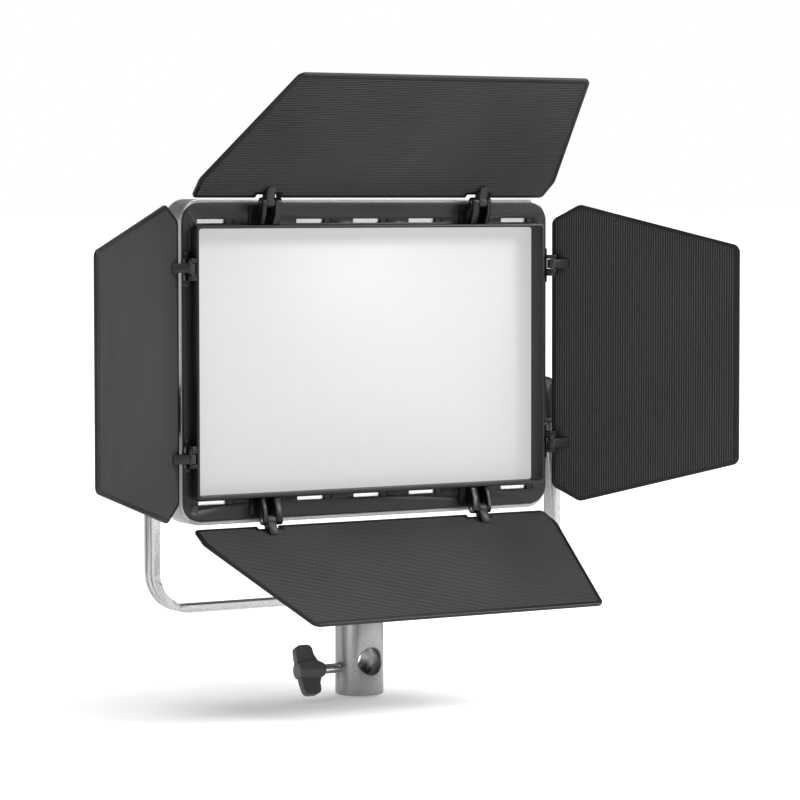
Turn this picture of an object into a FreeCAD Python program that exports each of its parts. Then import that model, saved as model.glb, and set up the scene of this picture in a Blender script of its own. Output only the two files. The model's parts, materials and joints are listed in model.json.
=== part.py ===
import FreeCAD, Part
import math
import os
import re
import Sketcher

# LED panel light with four barn-door leaves on a tilting U bracket.
# Row frame in millimetres: X to the right, Y away from the lit face, Z up.
# The origin is the centre of the stand socket's mouth, under the bracket.

DIMS = {
    # lit panel: where it stands, and the black front plate
    "front_y": -13.75, "panel_z": 207.5, "pivot_z": 177.0,
    "plate_w": 260.0, "plate_h": 188.8, "plate_t": 1.6, "plate_r": 11.0,
    "rim_w": 249.0, "rim_h": 163.0, "rim_wall": 2.0, "rim_out": 7.0, "rim_r": 3.0,
    "recess_d": 5.7, "skirt_w": 255.0, "skirt_h": 187.0, "skirt_wall": 1.8, "skirt_d": 3.0,
    "slot_z": 83.8, "slot_len": 24.4, "slot_ht": 2.5, "slot_near": 39.9, "slot_far": 107.95,
    "plug_x": 122.0, "plug_z": 86.6, "plug_r": 2.4,
    # aluminium frame round the panel
    "frame_w": 261.0, "frame_h": 194.0, "frame_r": 13.0, "frame_d": 20.0, "frame_wall": 2.4,
    # light engine
    "diff_w": 252.0, "diff_h": 166.0, "diff_t": 2.0,
    "tray_wall": 0.8, "tray_flange": 188.0, "board_y": 17.0, "board_t": 1.6,
    "chip": 3.0, "chip_t": 0.7, "chip_dx": 16.0, "chip_dz": 16.0,
    "sink_w": 236.0, "sink_h": 150.0, "sink_t": 2.0, "fin_t": 1.6, "fin_d": 10.0, "fin_dx": 14.0,
    "driver_y": 36.0, "driver_w": 140.0, "driver_h": 70.0, "driver_up": 27.0,
    # rear cover and its controls
    "rear_w": 260.0, "rear_h": 193.0, "rear_r": 12.5, "back_w": 238.0, "back_h": 171.0,
    "back_r": 16.0, "rear_d": 24.0, "rear_wall": 2.5, "lip_d": 3.0,
    "vent_len": 70.0, "vent_ht": 3.0, "vent_dz": 8.0,
    "ctrl_w": 150.0, "ctrl_h": 46.0, "ctrl_z": 162.5,
    "screen_w": 36.0, "screen_h": 20.0, "screen_x": -48.0,
    "knob_r": 9.0, "knob_d": 12.0, "knob_x1": 12.0, "knob_x2": 46.0, "shaft_r": 2.95,
    "button_r": 4.0, "button_x": -14.0, "button_dz": 9.0, "button_out": 2.0,
    "rocker_x": -95.0, "rocker_w": 10.2, "rocker_h": 16.0,
    "inlet_x": 95.0, "inlet_r": 5.4, "jack_r": 2.8, "jack_d": 9.0,
    # barn-door hinges: axis height over the plate, and distance from the panel's centre
    "axis_long": 95.0, "axis_long_q": 8.0, "axis_side": 129.2, "axis_side_q": 7.5,
    "barrel_r": 3.0, "pin_r": 1.0, "tongue_w": 5.6, "ear_gap": 0.35, "ear_in": 4.4, "ear_out": 2.45,
    "hinge_long": 75.8, "hinge_side": 56.4, "base_t": 1.2,
    # barn-door leaves
    "leaf_t": 2.2, "long_off": 5.2, "long_start": -2.6, "long_len": 111.9, "long_w0": 250.0,
    "long_w1": 253.0, "long_w2": 202.0, "long_c": 16.0,
    "side_off": 7.9, "side_start": -2.0, "side_len": 119.8, "side_w0": 168.0,
    "side_w1": 187.2, "side_w2": 135.6, "side_c": 18.0,
    "notch_w": 14.4, "notch_s": 0.4, "tongue_s": 9.0,
    "rest_top": 39.0, "rest_bottom": 25.4, "rest_left": 50.8, "rest_right": 42.1,
    # tilting bracket and pivots
    "yoke_w": 292.5, "yoke_t": 4.5, "yoke_d": 12.0, "yoke_z": 58.0, "yoke_r": 25.0,
    "groove_y": 2.9, "groove_w": 1.6, "groove_d": 0.8,
    "boss_r": 15.0, "boss_end": 140.2, "boss_flat": 10.4, "hole_r": 3.05, "stud_r": 3.0,
    "tilt_washer_r": 9.0, "tilt_washer_t": 1.5, "tilt_knob_r": 17.0, "tilt_knob_d": 16.0,
    # stand socket
    "socket_r": 14.9, "bore_r": 8.1, "bore_d": 45.0, "cross_z": 21.2, "mouth_c": 0.7, "wing_z": 16.7,
    "wing_start": 26.0, "wing_end": 44.0, "wing_half": 15.8, "wing_t": 5.0, "wing_turn": -25.0,
}

doc = FreeCAD.newDocument("led_panel_light")
sheet = doc.addObject("Spreadsheet::Sheet", "dims")
for row, (alias, number) in enumerate(DIMS.items(), start=1):
    sheet.set("A%d" % row, alias)
    sheet.set("B%d" % row, str(number))
    sheet.setAlias("B%d" % row, alias)
doc.recompute()

nodes = {}


def bound(text):
    """An expression with every dimension's name pointing at the sheet."""
    def point(word):
        return "dims." + word.group(0) if word.group(0) in DIMS else word.group(0)
    return re.sub(r"[a-z_][a-z_0-9]*", point, text)


def value(text):
    return float(sheet.evalExpression(bound(text)))


def node(thing, name):
    """Mark a finished document object as one named piece of the light."""
    thing.Label = name
    nodes[name] = thing
    return thing


# ---------------------------------------------------------------- sketching helpers

def constrain(sketch, plain, driven):
    """Add fixed constraints, and driving ones whose values come from the sheet."""
    first = sketch.ConstraintCount + len(plain)
    sizes = [Sketcher.Constraint(kind, *where, value(text)) for kind, where, text in driven]
    sketch.addConstraint([Sketcher.Constraint(*words) for words in plain] + sizes)
    for number, (_, _, text) in enumerate(driven):
        sketch.setExpression("Constraints[%d]" % (first + number), bound(text))


def draw_circle(sketch, cx, cy, radius):
    centre = FreeCAD.Vector(value(cx), value(cy), 0)
    edge = sketch.addGeometry(Part.Circle(centre, FreeCAD.Vector(0, 0, 1), value(radius)), False)
    constrain(sketch, [], [("DistanceX", (-1, 1, edge, 3), cx), ("DistanceY", (-1, 1, edge, 3), cy),
                           ("Radius", (edge,), radius)])


def draw_polygon(sketch, *points):
    spots = [FreeCAD.Vector(value(x), value(y), 0) for x, y in points]
    first = sketch.GeometryCount
    for start, end in zip(spots, spots[1:] + spots[:1]):
        sketch.addGeometry(Part.LineSegment(start, end), False)
    count = len(points)
    joints = [("Coincident", first + i, 2, first + (i + 1) % count, 1) for i in range(count)]
    sizes = []
    for i, (x, y) in enumerate(points):
        sizes.append(("DistanceX", (-1, 1, first + i, 1), x))
        sizes.append(("DistanceY", (-1, 1, first + i, 1), y))
    constrain(sketch, joints, sizes)


def draw_rect(sketch, cx, cy, width, height, radius=None):
    """A rectangle about (cx, cy), with rounded corners when a radius is named."""
    left, right = "(%s)-(%s)/2" % (cx, width), "(%s)+(%s)/2" % (cx, width)
    low, high = "(%s)-(%s)/2" % (cy, height), "(%s)+(%s)/2" % (cy, height)
    if radius is None:
        draw_polygon(sketch, (left, low), (right, low), (right, high), (left, high))
        return
    x0, x1, y0, y1, r = value(left), value(right), value(low), value(high), value(radius)
    first = sketch.GeometryCount
    corners = [(x1 - r, y0 + r, -90), (x1 - r, y1 - r, 0), (x0 + r, y1 - r, 90), (x0 + r, y0 + r, 180)]
    sides = [((x0 + r, y0), (x1 - r, y0)), ((x1, y0 + r), (x1, y1 - r)),
             ((x1 - r, y1), (x0 + r, y1)), ((x0, y1 - r), (x0, y0 + r))]
    for (start, end), (ax, ay, turn) in zip(sides, corners):
        sketch.addGeometry(Part.LineSegment(FreeCAD.Vector(*start, 0), FreeCAD.Vector(*end, 0)), False)
        ring = Part.Circle(FreeCAD.Vector(ax, ay, 0), FreeCAD.Vector(0, 0, 1), r)
        sketch.addGeometry(Part.ArcOfCircle(ring, math.radians(turn), math.radians(turn + 90)), False)
    shape = []
    for i in range(4):
        line, arc = first + 2 * i, first + 2 * i + 1
        shape.append(("Tangent", line, 2, arc, 1))
        shape.append(("Tangent", arc, 2, first + (2 * i + 2) % 8, 1))
        shape.append(("Vertical" if i % 2 else "Horizontal", line))
    for i in range(1, 4):
        shape.append(("Equal", first + 1, first + 2 * i + 1))
    constrain(sketch, shape, [
        ("Radius", (first + 1,), radius), ("DistanceY", (-1, 1, first, 1), low),
        ("DistanceX", (-1, 1, first + 2, 1), right), ("DistanceY", (-1, 1, first + 4, 1), high),
        ("DistanceX", (-1, 1, first + 6, 1), left)])


DRAW = {"circle": draw_circle, "rect": draw_rect, "poly": draw_polygon}


def new_body(name):
    body = doc.addObject("PartDesign::Body", "body_" + name)
    body.AllowCompound = True
    return node(body, name)


def carve(name, *tools):
    """Cut primitive solids out of a finished body, keeping its name."""
    body = nodes[name]
    body.Label = name + "_blank"
    return node(cut(body, *tools), name)


def new_sketch(body, plane, offset, shapes):
    """A sketch on the body's own plane, moved to a height along X, Y or Z."""
    sketch = body.newObject("Sketcher::SketchObject", "sketch")
    support = [f for f in body.Origin.OriginFeatures if f.Role == plane + "_Plane"][0]
    sketch.AttachmentSupport = (support, [""])
    sketch.MapMode = "FlatFace"
    sketch.setExpression("AttachmentOffset.Base.z", bound("-(%s)" % offset if plane == "XZ" else offset))
    for kind, *numbers in shapes:
        DRAW[kind](sketch, *numbers)
    return sketch


def pad(body, plane, start, length, *shapes):
    """Add material from a height, towards the positive axis."""
    feature = body.newObject("PartDesign::Pad", "pad")
    feature.Profile = new_sketch(body, plane, start, shapes)
    feature.setExpression("Length", bound(length))
    feature.Reversed = plane == "XZ"
    doc.recompute()
    return feature


def pocket(body, plane, start, length, *shapes):
    """Take material away from a height, towards the positive axis."""
    before = body.Shape.Volume
    feature = body.newObject("PartDesign::Pocket", "pocket")
    feature.Profile = new_sketch(body, plane, start, shapes)
    feature.setExpression("Length", bound(length))
    feature.Reversed = plane != "XZ"
    doc.recompute()
    if not before - body.Shape.Volume > 1e-6:
        raise RuntimeError("a pocket in %s cuts nothing" % body.Label)
    return feature


def edges_where(shape, test):
    """Names of the edges whose two ends both pass a test."""
    found = []
    for number, edge in enumerate(shape.Edges, start=1):
        ends = [v.Point for v in edge.Vertexes]
        if ends and test(ends[0], ends[-1]):
            found.append("Edge%d" % number)
    return found


def soften(body, kind, size, test):
    """A fillet or chamfer on the edges a test picks out of the body's last feature."""
    last = body.Tip
    names = edges_where(last.Shape, test)
    if not names:
        raise RuntimeError("no edge to soften in %s" % body.Label)
    feature = body.newObject("PartDesign::" + kind, "soft")
    feature.Base = (last, names)
    feature.setExpression("Radius" if kind == "Fillet" else "Size", bound(size))
    doc.recompute()
    return feature


def flat(a, b, axis, at):
    """Both ends of an edge lie on one plane across an axis."""
    return abs(getattr(a, axis) - at) < 1e-4 and abs(getattr(b, axis) - at) < 1e-4


def along(a, b, axis):
    """An edge runs parallel to an axis."""
    return all(abs(getattr(a, k) - getattr(b, k)) < 1e-4 for k in "xyz" if k != axis)


def on_border(point, width, height):
    """A point lies on the outer border of an upright rectangle about the panel's centre."""
    beside = abs(abs(point.x) - value(width) / 2) < 0.01
    above = abs(abs(point.z - value("panel_z")) - value(height) / 2) < 0.01
    return beside or above


# ---------------------------------------------------------------- primitive helpers

def box(x, y, z, lx, ly, lz):
    solid = doc.addObject("Part::Box", "box")
    for prop, text in (("Length", lx), ("Width", ly), ("Height", lz)):
        solid.setExpression(prop, bound(text))
    for prop, text in (("x", x), ("y", y), ("z", z)):
        solid.setExpression("Placement.Base." + prop, bound(text))
    return solid


TURNS = {"Z": FreeCAD.Rotation(), "X": FreeCAD.Rotation(FreeCAD.Vector(0, 1, 0), 90),
         "Y": FreeCAD.Rotation(FreeCAD.Vector(1, 0, 0), -90)}


def rod(axis, x, y, z, radius, length):
    """A cylinder that starts at a point and runs along the positive axis."""
    solid = doc.addObject("Part::Cylinder", "rod")
    solid.Placement = FreeCAD.Placement(FreeCAD.Vector(), TURNS[axis])
    solid.setExpression("Radius", bound(radius))
    solid.setExpression("Height", bound(length))
    for prop, text in (("x", x), ("y", y), ("z", z)):
        solid.setExpression("Placement.Base." + prop, bound(text))
    return solid


def fuse(*solids):
    joined = doc.addObject("Part::MultiFuse", "fuse")
    joined.Shapes = list(solids)
    return joined


def cut(base, *tools):
    result = doc.addObject("Part::Cut", "cut")
    result.Base = base
    result.Tool = tools[0] if len(tools) == 1 else fuse(*tools)
    return result


# ---------------------------------------------------------------- aluminium frame

FRAME_Y = "front_y+plate_t"
frame = new_body("housing_frame")
pad(frame, "XZ", FRAME_Y, "frame_d",
    ("rect", "0", "panel_z", "frame_w", "frame_h", "frame_r"),
    ("rect", "0", "panel_z", "frame_w-2*frame_wall", "frame_h-2*frame_wall", "frame_r-frame_wall"))
pocket(frame, "YZ", "-frame_w", "2*frame_w", ("circle", "0", "pivot_z", "hole_r"))
soften(frame, "Chamfer", "0.5", lambda a, b: flat(a, b, "y", value(FRAME_Y))
       and on_border(a, "frame_w", "frame_h") and on_border(b, "frame_w", "frame_h"))

# ---------------------------------------------------------------- black front bezel with the raised rim

bezel = new_body("front_bezel")
INNER = ("rect", "0", "panel_z", "rim_w-2*rim_wall", "rim_h-2*rim_wall", "rim_r-1")
pad(bezel, "XZ", "front_y", "plate_t", ("rect", "0", "panel_z", "plate_w", "plate_h", "plate_r"), INNER)
pad(bezel, "XZ", "front_y-rim_out", "rim_out+recess_d",
    ("rect", "0", "panel_z", "rim_w", "rim_h", "rim_r"), INNER)
pad(bezel, "XZ", FRAME_Y, "skirt_d",
    ("rect", "0", "panel_z", "skirt_w", "skirt_h", "plate_r-2"),
    ("rect", "0", "panel_z", "skirt_w-2*skirt_wall", "skirt_h-2*skirt_wall", "plate_r-2-skirt_wall"))
pocket(bezel, "XZ", "front_y", "plate_t", ("circle", "-plug_x", "panel_z-plug_z", "plug_r"))
soften(bezel, "Chamfer", "0.4", lambda a, b: flat(a, b, "y", value("front_y-rim_out")))
soften(bezel, "Fillet", "0.7", lambda a, b: flat(a, b, "y", value("front_y"))
       and on_border(a, "plate_w", "plate_h") and on_border(b, "plate_w", "plate_h"))
SLOTS = ("-slot_far", "-slot_near", "0", "slot_near", "slot_far")
carve("front_bezel", *[box(spot + "-slot_len/2", "front_y-1", "panel_z%sslot_z-slot_ht/2" % side,
                           "slot_len", "plate_t+2", "slot_ht") for side in ("+", "-") for spot in SLOTS])
plug = cut(rod("Y", "-plug_x", "front_y+0.4", "panel_z-plug_z", "plug_r", "2"),
           box("-plug_x-1.5", "front_y", "panel_z-plug_z-0.3", "3", "0.9", "0.6"))
node(plug, "bezel_plug")

# ---------------------------------------------------------------- light engine

node(box("-diff_w/2", "front_y+recess_d", "panel_z-diff_h/2", "diff_w", "diff_t", "diff_h"), "diffuser")

tray = new_body("reflector_tray")
pad(tray, "XZ", "front_y+2.4", "tray_wall",
    ("rect", "0", "panel_z", "skirt_w-2*skirt_wall-0.4", "skirt_h-2*skirt_wall-0.4", "8.5"),
    ("rect", "0", "panel_z", "rim_w+0.4", "rim_h+0.4", "rim_r"))
pad(tray, "XZ", "front_y+2.4", "recess_d-2.4-0.1",
    ("rect", "0", "panel_z", "rim_w+0.4+2*tray_wall", "rim_h+0.4+2*tray_wall", "rim_r+tray_wall"),
    ("rect", "0", "panel_z", "rim_w+0.4", "rim_h+0.4", "rim_r"))
pad(tray, "XZ", "front_y+recess_d-0.1-tray_wall", "tray_wall",
    ("rect", "0", "panel_z", "diff_w+0.4+2*tray_wall", "diff_h+0.4+2*tray_wall", "1.2"),
    ("rect", "0", "panel_z", "rim_w+0.4", "rim_h+0.4", "rim_r"))
pad(tray, "XZ", "front_y+recess_d-0.1-tray_wall", "board_y-recess_d+0.1+tray_wall",
    ("rect", "0", "panel_z", "diff_w+0.4+2*tray_wall", "diff_h+0.4+2*tray_wall", "1.2"),
    ("rect", "0", "panel_z", "diff_w+0.4", "diff_h+0.4", "0.4"))

node(box("-diff_w/2", "front_y+board_y", "panel_z-diff_h/2", "diff_w", "board_t", "diff_h"), "led_board")

# white mask sheet with a grid of emitter chips standing on it
mask = box("-diff_w/2+1", "front_y+board_y-0.3", "panel_z-diff_h/2+1", "diff_w-2", "0.3", "diff_h-2")
chips = [box("(%d)*chip_dx-chip/2" % column, "front_y+board_y-0.3-chip_t",
             "panel_z+(%d)*chip_dz-chip/2" % line, "chip", "chip_t", "chip")
         for column in range(-7, 8) for line in range(-4, 5)]
node(fuse(mask, *chips), "led_array")

SINK_Y = "front_y+board_y+board_t"
fins = [box("(%d)*fin_dx-fin_t/2" % number, SINK_Y + "+sink_t", "panel_z-sink_h/2+3",
            "fin_t", "fin_d", "sink_h-6") for number in range(-8, 9)]
node(fuse(box("-sink_w/2", SINK_Y, "panel_z-sink_h/2", "sink_w", "sink_t", "sink_h"), *fins), "heatsink")

# driver board on four pillars, with its parts on the rear side
BOARD_Z = "panel_z+driver_up"
node(box("-driver_w/2", "front_y+driver_y", BOARD_Z + "-driver_h/2", "driver_w", "1.6", "driver_h"),
     "driver_board")
pillars = [rod("Y", "%s4.5*fin_dx" % sx, SINK_Y + "+sink_t", BOARD_Z + "%s28" % sz, "3",
               "driver_y-board_y-board_t-sink_t") for sx in ("-", "+") for sz in ("-", "+")]
node(fuse(*pillars), "board_pillars")
PARTS = [(-48, 12, 22, 4.6, 16), (-18, 14, 14, 4.8, 14), (8, 12, 18, 3.2, 20), (38, 10, 26, 4.0, 24),
         (-44, -18, 30, 2.6, 12), (-8, -18, 12, 3.4, 12), (16, -20, 10, 4.4, 10), (44, -20, 20, 2.4, 14)]
blocks = [box("%g-%g/2" % (x, lx), "front_y+driver_y+1.6", BOARD_Z + "+(%g)-%g/2" % (z, lz),
              str(lx), str(ly), str(lz)) for x, z, lx, ly, lz in PARTS]
node(fuse(*blocks), "driver_components")

# ---------------------------------------------------------------- rear cover

REAR_Y = "front_y+plate_t+frame_d"
BACK_Y = REAR_Y + "+rear_d"
cover = new_body("rear_cover")


def loft(body, kind, *sections):
    feature = body.newObject("PartDesign::" + kind, "loft")
    sketches = [new_sketch(body, "XZ", offset, [shape]) for offset, shape in sections]
    feature.Profile = sketches[0]
    feature.Sections = sketches[1:]
    feature.Ruled = True
    doc.recompute()


loft(cover, "AdditiveLoft",
     (REAR_Y, ("rect", "0", "panel_z", "rear_w", "rear_h", "rear_r")),
     (BACK_Y, ("rect", "0", "panel_z", "back_w", "back_h", "back_r")))
loft(cover, "SubtractiveLoft",
     (REAR_Y, ("rect", "0", "panel_z", "rear_w-4*rear_wall", "rear_h-4*rear_wall", "rear_r-2*rear_wall")),
     (BACK_Y + "-rear_wall",
      ("rect", "0", "panel_z", "back_w-2*rear_wall", "back_h-2*rear_wall", "back_r-rear_wall")))
LIP_W, LIP_H = "frame_w-2*frame_wall-0.2", "frame_h-2*frame_wall-0.2"
pad(cover, "XZ", REAR_Y + "-lip_d", "lip_d+1",
    ("rect", "0", "panel_z", LIP_W, LIP_H, "frame_r-frame_wall"),
    ("rect", "0", "panel_z", "rear_w-4*rear_wall", "rear_h-4*rear_wall", "rear_r-2*rear_wall"))
pocket(cover, "XZ", BACK_Y + "-rear_wall-1", "rear_wall+2",
       ("rect", "0", "ctrl_z", "ctrl_w+0.4", "ctrl_h+0.4", "4"))
pocket(cover, "XZ", BACK_Y + "-rear_wall-1", "rear_wall+2", ("rect", "rocker_x", "ctrl_z", "13", "19", "1"))
pocket(cover, "XZ", BACK_Y + "-rear_wall-1", "rear_wall+2", ("circle", "inlet_x", "ctrl_z", "inlet_r"))
vents = [box("(%d)*(vent_len/2+8)-vent_len/2" % column, BACK_Y + "-rear_wall-1",
             "panel_z+22+(%d)*vent_dz-vent_ht/2" % line, "vent_len", "rear_wall+2", "vent_ht")
         for column in (-1, 1) for line in range(7)]
screw_holes = [rod("Y", "%d" % x, BACK_Y + "-rear_wall-1", "panel_z+(%d)" % z, "2.2", "rear_wall+2")
               for x in (-105, 105) for z in (-72, 72)]
carve("rear_cover", *vents, *screw_holes)
heads = [cut(rod("Y", "%d" % x, BACK_Y + "-rear_wall-6", "panel_z+(%d)" % z, "2.2", "rear_wall+5.6"),
             box("%d-2.2" % x, BACK_Y + "-1.2", "panel_z+(%d)-0.4" % z, "4.4", "2", "0.8"))
         for x in (-105, 105) for z in (-72, 72)]
node(fuse(*heads), "rear_screws")

# ---------------------------------------------------------------- control panel and what sits in it

PANEL_Y = BACK_Y + "-rear_wall"
panel = new_body("control_panel")
KNOBS = [("knob_brightness", "knob_x1"), ("knob_colour", "knob_x2")]
BUTTONS = [("button_mode", "+"), ("button_set", "-")]
pad(panel, "XZ", PANEL_Y, "rear_wall", ("rect", "0", "ctrl_z", "ctrl_w", "ctrl_h", "3.8"))
pocket(panel, "XZ", PANEL_Y + "-1", "rear_wall+2",
       ("rect", "screen_x", "ctrl_z", "screen_w", "screen_h", "1"),
       ("circle", "knob_x1", "ctrl_z", "shaft_r+0.05"), ("circle", "knob_x2", "ctrl_z", "shaft_r+0.05"),
       ("circle", "button_x", "ctrl_z+button_dz", "button_r+0.08"),
       ("circle", "button_x", "ctrl_z-button_dz", "button_r+0.08"))

glass = new_body("display_window")
pad(glass, "XZ", BACK_Y + "-1.6", "1.2", ("rect", "screen_x", "ctrl_z", "screen_w", "screen_h", "1"))
node(box("screen_x-screen_w/2+0.5", BACK_Y + "-9.4", "ctrl_z-screen_h/2+0.5",
         "screen_w-1", "6.8", "screen_h-1"), "display_module")

switches = [box("button_x-3", BACK_Y + "-9.5", "ctrl_z%sbutton_dz-3" % sign, "6", "3.4", "6")
            for _, sign in BUTTONS]
node(fuse(box("-ctrl_w/2+4", BACK_Y + "-11", "ctrl_z-ctrl_h/2+3", "ctrl_w-8", "1.5", "ctrl_h-6"), *switches),
     "control_board")

for name, x in KNOBS:
    can = cut(box(x + "-6.5", BACK_Y + "-9.4", "ctrl_z-6.5", "13", "9.4-rear_wall-0.1", "13"),
              rod("Y", x, BACK_Y + "-9", "ctrl_z", "shaft_r+0.05", "9"))
    node(can, name.replace("knob", "encoder"))
    knob = new_body(name)
    pad(knob, "XZ", BACK_Y + "+0.8", "knob_d", ("circle", x, "ctrl_z", "knob_r"))
    pad(knob, "XZ", BACK_Y + "-8", "9", ("circle", x, "ctrl_z", "shaft_r"))
    soften(knob, "Chamfer", "0.8", lambda a, b: flat(a, b, "y", value(BACK_Y + "+0.8+knob_d")))
    pocket(knob, "XZ", BACK_Y + "+0.3+knob_d", "1", ("rect", x, "ctrl_z+knob_r-3.5", "1.2", "4", "0.5"))
    carve(name, *[rod("Y", x + "+(knob_r+0.5)*cos(%d)" % turn, BACK_Y + "+1.8",
                      "ctrl_z+(knob_r+0.5)*sin(%d)" % turn, "1", "knob_d-2.5") for turn in range(0, 360, 20)])

for name, sign in BUTTONS:
    cap = new_body(name)
    height = "ctrl_z%sbutton_dz" % sign
    pad(cap, "XZ", BACK_Y + "-2", "2+button_out", ("circle", "button_x", height, "button_r"))
    pad(cap, "XZ", BACK_Y + "-4.9", "3", ("circle", "button_x", height, "1.5"))
    soften(cap, "Fillet", "0.6", lambda a, b: flat(a, b, "y", value(BACK_Y + "+button_out")))

bay = new_body("rocker_frame")
pad(bay, "XZ", BACK_Y, "1.2", ("rect", "rocker_x", "ctrl_z", "16", "22", "1.5"),
    ("rect", "rocker_x", "ctrl_z", "11", "17", "0.5"))
pad(bay, "XZ", BACK_Y + "-10", "10", ("rect", "rocker_x", "ctrl_z", "13", "19", "1"),
    ("rect", "rocker_x", "ctrl_z", "11", "17", "0.5"))
pad(bay, "XZ", BACK_Y + "-11", "1", ("rect", "rocker_x", "ctrl_z", "13", "19", "1"))

# the rocker's cap leans to its "off" side at rest, about a pivot across its middle
rocker = new_body("power_rocker")
pad(rocker, "YZ", "-rocker_w/2", "rocker_w",
    ("poly", ("-3", "-7.4"), ("1.6", "-7.6"), ("3.4", "-7.6"), ("2.4", "0"), ("3.4", "7.6"), ("1.6", "7.6"),
     ("-3", "7.4"), ("-4.5", "0")))
pad(rocker, "YZ", "-rocker_w/2-0.35", "rocker_w+0.7", ("circle", "0", "0", "1.2"))
rocker.Placement.Rotation = FreeCAD.Rotation(FreeCAD.Vector(1, 0, 0), 7)
for prop, text in (("x", "rocker_x"), ("y", BACK_Y), ("z", "ctrl_z")):
    rocker.setExpression("Placement.Base." + prop, bound(text))

jack = fuse(rod("Y", "inlet_x", BACK_Y + "-12", "ctrl_z", "inlet_r", "12"),
            rod("Y", "inlet_x", BACK_Y, "ctrl_z", "6.6", "1.5"))
socket = cut(jack, rod("Y", "inlet_x", BACK_Y + "+1.5-jack_d", "ctrl_z", "jack_r", "jack_d+1"))
node(fuse(socket, rod("Y", "inlet_x", BACK_Y + "+1.4-jack_d", "ctrl_z", "1.05", "jack_d-1")), "dc_inlet")

# ---------------------------------------------------------------- hinge brackets, pins and tongues

# A bracket's side view in (p, q): p out from the panel's centre, q forward of the plate.
LONG_EAR = (("82", "0"), ("92", "0"), ("92.6", "4.6"), ("95", "5"), ("97.6", "6.6"), ("97.4", "9.6"),
            ("95", "11"), ("88", "10.4"), ("82", "7.6"))
SIDE_EAR = (("124.7", "0"), ("129.8", "0"), ("131.9", "6.2"), ("131.6", "9.3"), ("129.2", "10.5"),
            ("126.4", "9.9"), ("124.7", "7.6"))
SIDES = {
    "top": ("YZ", "front_y-(%s)", "panel_z+(%s)", LONG_EAR, "hinge_long", "0", "axis_long"),
    "bottom": ("YZ", "front_y-(%s)", "panel_z-(%s)", LONG_EAR, "hinge_long", "0", "axis_long"),
    "left": ("XY", "-(%s)", "front_y-(%s)", SIDE_EAR, "hinge_side", "panel_z", "axis_side"),
    "right": ("XY", "(%s)", "front_y-(%s)", SIDE_EAR, "hinge_side", "panel_z", "axis_side"),
}


def bracket_point(side, p, q):
    """A (p, q) spot of one side's bracket as sketch coordinates."""
    plane, first, second = SIDES[side][:3]
    return (first % q, second % p) if plane == "YZ" else (first % p, second % q)


pins = []
for side, (plane, _, _, profile, spread, middle, reach) in SIDES.items():
    bracket = new_body("hinge_brackets_" + side)
    height = "axis_long_q" if plane == "YZ" else "axis_side_q"
    axis_spot = bracket_point(side, reach, height)
    outline = [bracket_point(side, p, q) for p, q in profile]
    base = [bracket_point(side, p, q) for p, q in ((profile[0][0], "0"), (profile[1][0], "0"),
                                                    (profile[1][0], "base_t"), (profile[0][0], "base_t"))]
    for sign in ("-", "+"):
        near = "(%s)%s(%s-tongue_w/2-ear_gap-ear_in)" % (middle, sign, spread)
        far = "(%s)%s(%s+tongue_w/2+ear_gap+ear_out)" % (middle, sign, spread)
        low = near if sign == "+" else far
        total = "tongue_w+2*ear_gap+ear_in+ear_out"
        first_ear, last_ear = ("ear_in", "ear_out") if sign == "+" else ("ear_out", "ear_in")
        pad(bracket, plane, low + "-4", total + "+8", ("poly", *base))
        pad(bracket, plane, low, first_ear, ("poly", *outline))
        pad(bracket, plane, low + "+" + total + "-" + last_ear, last_ear, ("poly", *outline))
        pad(bracket, plane, low, first_ear, ("circle", *axis_spot, "barrel_r"))
        pad(bracket, plane, low + "+" + total + "-" + last_ear, last_ear, ("circle", *axis_spot, "barrel_r"))
        pocket(bracket, plane, low + "-5", total + "+10", ("circle", *axis_spot, "pin_r"))
        if plane == "YZ":
            pins.append(rod("X", low, axis_spot[0], axis_spot[1], "pin_r", total))
        else:
            pins.append(rod("Z", axis_spot[0], axis_spot[1], low, "pin_r", total))
node(fuse(*pins), "hinge_pins")


def leaf_placement(side):
    """The leaf's own frame at rest: x along the hinge, y out along the leaf, z to its outer face."""
    lean = math.radians(value("rest_" + side))
    out, ahead = math.sin(lean), math.cos(lean)
    if side in ("top", "bottom"):
        up = 1 if side == "top" else -1
        along_leaf = FreeCAD.Vector(0, -ahead, up * out)
        normal = FreeCAD.Vector(0, out, up * ahead)
        spot = FreeCAD.Vector(0, value("front_y-axis_long_q"), value("panel_z") + up * value("axis_long"))
    else:
        across = -1 if side == "left" else 1
        along_leaf = FreeCAD.Vector(across * out, -ahead, 0)
        normal = FreeCAD.Vector(across * ahead, out, 0)
        spot = FreeCAD.Vector(across * value("axis_side"), value("front_y-axis_side_q"), value("panel_z"))
    turn = FreeCAD.Rotation(along_leaf.cross(normal), along_leaf, normal, "ZXY")
    return FreeCAD.Placement(spot, turn)


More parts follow.
